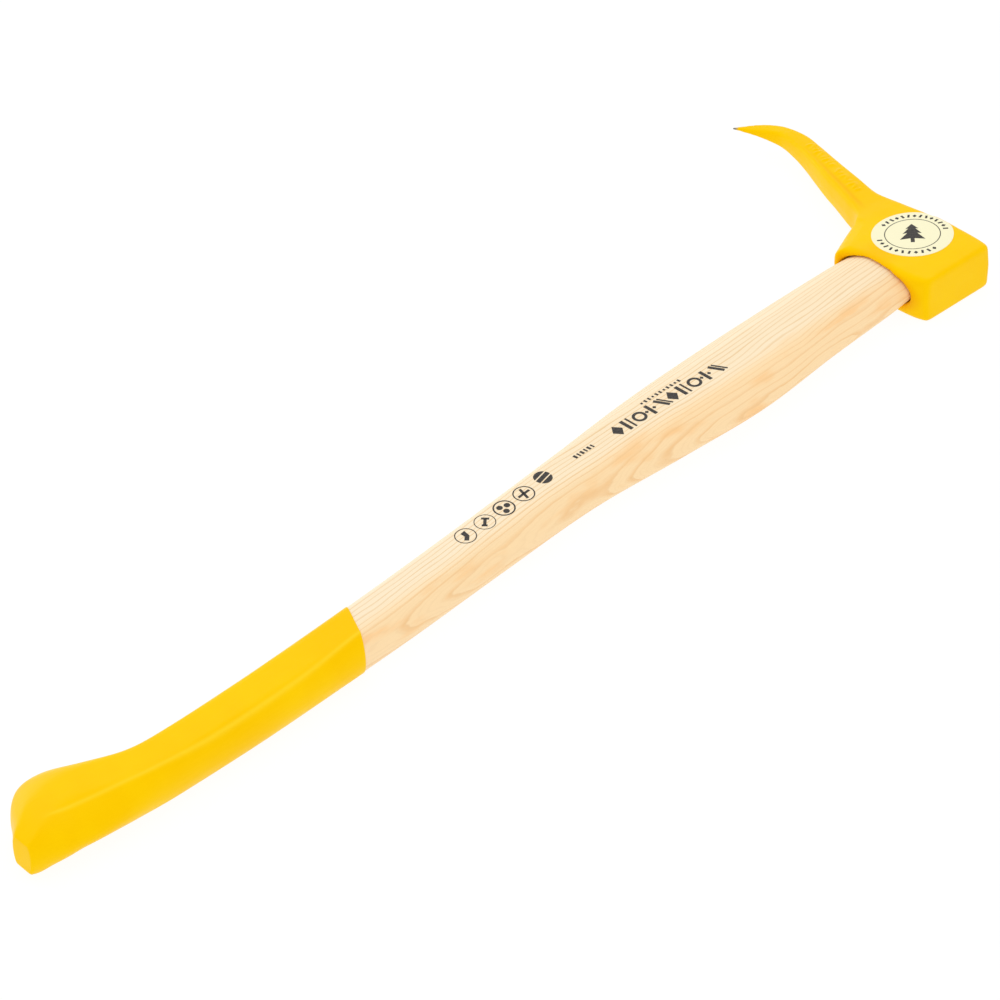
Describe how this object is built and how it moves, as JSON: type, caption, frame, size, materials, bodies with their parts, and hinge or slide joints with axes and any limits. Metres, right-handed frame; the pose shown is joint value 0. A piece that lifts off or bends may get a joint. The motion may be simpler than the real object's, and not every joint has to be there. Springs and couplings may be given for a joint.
{
  "type": "log pick",
  "caption": "Forestry hand tool with a long curved beak and a flat poll on a curved wooden handle, for turning and dragging logs.",
  "frame": {"origin": "middle of the footprint of the tool lying on its cheek, on the floor", "axes": "+X along the handle from the butt to the head's top, +Y towards the beak, +Z out of the cheek that lies uppermost"},
  "size_m": [0.7188, 0.2086, 0.0274],
  "materials": {
    "yellow_steel": "forged steel under semi-gloss yellow paint, worn to dark bare steel at the beak's tip",
    "ash": "pale ash, sanded smooth, thinly oiled, with fine straight grain along the curve",
    "wedge_wood": "darker hardwood, raw end grain",
    "bare_steel": "plain turned steel, lightly dulled",
    "yellow_coat": "thick dipped yellow paint over the wood, semi-gloss, with a sharp upper edge",
    "label_paper": "cream printed paper, thinly varnished"
  },
  "bodies": {
    "root": {"head": "yellow_steel", "handle": "ash", "eye_wedge": "wedge_wood", "ring_wedge": "bare_steel", "grip_coat": "yellow_coat", "head_label": "label_paper"}
  },
  "joints": []
}
